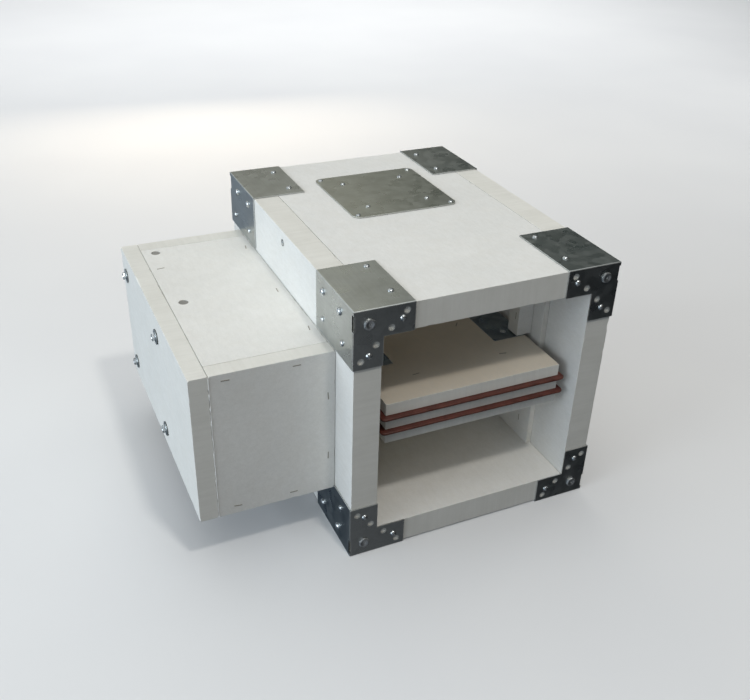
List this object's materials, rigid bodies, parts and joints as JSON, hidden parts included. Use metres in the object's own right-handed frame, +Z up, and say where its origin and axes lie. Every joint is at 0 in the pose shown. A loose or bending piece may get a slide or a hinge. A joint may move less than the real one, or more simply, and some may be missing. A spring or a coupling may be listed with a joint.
{
  "type": "fire damper",
  "caption": "Motor-operated rectangular fire damper: mineral-board casing, folded steel corner brackets, pivoting blade with edge seals and a boxed-in actuator at the side.",
  "frame": {"origin": "middle of the box that the part fills, at the bottom, on the surface it stands on", "axes": "+X across the duct, away from the actuator enclosure; +Y along the duct from the front end to the rear end; +Z up"},
  "size_m": [0.5782, 0.5086, 0.3836],
  "materials": {
    "casing_board": "matte fibre-reinforced calcium silicate board, off-white",
    "blade_board": "matte calcium silicate board, off-white",
    "stop_board": "matte calcium silicate board, off-white, sawn edges",
    "enclosure_board": "matte calcium silicate board, off-white",
    "galvanised_sheet": "hot-dip galvanised sheet, dull spangle",
    "zinc_fasteners": "bright zinc plate",
    "edge_seal": "dark red-brown intumescent seal with a soft lip",
    "shaft_steel": "drawn bright steel",
    "bush_bronze": "sintered bronze",
    "actuator_case": "fine-textured moulded plastic, dark grey",
    "red_plastic": "moulded plastic, red",
    "terminal_case": "moulded plastic, light grey",
    "black_rubber": "matte black rubber"
  },
  "bodies": {
    "casing": {"casing_left_board": "casing_board", "casing_right_board": "casing_board", "casing_top_board": "casing_board", "casing_bottom_board": "casing_board", "bracket_front_top_left": "galvanised_sheet", "bracket_front_top_right": "galvanised_sheet", "bracket_front_bottom_left": "galvanised_sheet", "bracket_front_bottom_right": "galvanised_sheet", "bracket_rear_top_left": "galvanised_sheet", "bracket_rear_top_right": "galvanised_sheet", "bracket_rear_bottom_left": "galvanised_sheet", "bracket_rear_bottom_right": "galvanised_sheet", "bolt_front_top_left": "zinc_fasteners", "bolt_front_top_right": "zinc_fasteners", "bolt_front_bottom_left": "zinc_fasteners", "bolt_front_bottom_right": "zinc_fasteners", "bolt_rear_top_left": "zinc_fasteners", "bolt_rear_top_right": "zinc_fasteners", "bolt_rear_bottom_left": "zinc_fasteners", "bolt_rear_bottom_right": "zinc_fasteners", "left_cheek": "stop_board", "right_cheek": "stop_board", "upper_left_stop": "stop_board", "upper_right_stop": "stop_board", "upper_cross_stop": "stop_board", "lower_left_stop": "stop_board", "lower_right_stop": "stop_board", "lower_cross_stop": "stop_board", "drive_bush": "bush_bronze", "idle_bush": "bush_bronze", "enclosure_front_board": "enclosure_board", "enclosure_rear_board": "enclosure_board", "enclosure_top_board": "enclosure_board", "enclosure_bottom_board": "enclosure_board", "cable_plug_front": "black_rubber", "cable_plug_rear": "black_rubber", "actuator_housing": "actuator_case", "actuator_mount": "galvanised_sheet", "terminal_box": "terminal_case", "actuator_lead": "black_rubber"},
    "blade": {"blade_upper_layer": "blade_board", "blade_middle_layer": "blade_board", "blade_lower_layer": "blade_board", "blade_upper_seal": "edge_seal", "blade_lower_seal": "edge_seal", "pivot_bracket_left": "galvanised_sheet", "pivot_bracket_right": "galvanised_sheet", "drive_shaft": "shaft_steel", "idle_shaft": "shaft_steel", "actuator_hub": "shaft_steel", "position_indicator": "red_plastic", "shaft_clamp": "zinc_fasteners"},
    "cover": {"enclosure_cover": "enclosure_board", "cover_screw_front_lower": "zinc_fasteners", "cover_screw_front_upper": "zinc_fasteners", "cover_screw_rear_lower": "zinc_fasteners", "cover_screw_rear_upper": "zinc_fasteners"},
    "hatch": {"inspection_plate": "galvanised_sheet", "inspection_plug": "casing_board"},
    "release_button": {"manual_release_button": "red_plastic"}
  },
  "joints": [
    {"name": "blade_turn", "type": "hinge", "parent": "casing", "child": "blade", "pos_m": [0, -0.085, 0.1938], "axis": [1, 0, 0], "range_deg": [0, 90]},
    {"name": "cover_removal", "type": "slide", "parent": "casing", "child": "cover", "axis": [-1, 0, 0], "range_m": [0, 0.12]},
    {"name": "hatch_lift", "type": "slide", "parent": "casing", "child": "hatch", "axis": [0, 0, 1], "range_m": [0, 0.1]},
    {"name": "release_press", "type": "slide", "parent": "casing", "child": "release_button", "axis": [0, 0, -1], "range_m": [0, 0.005], "stiffness_N_per_m": 600}
  ]
}
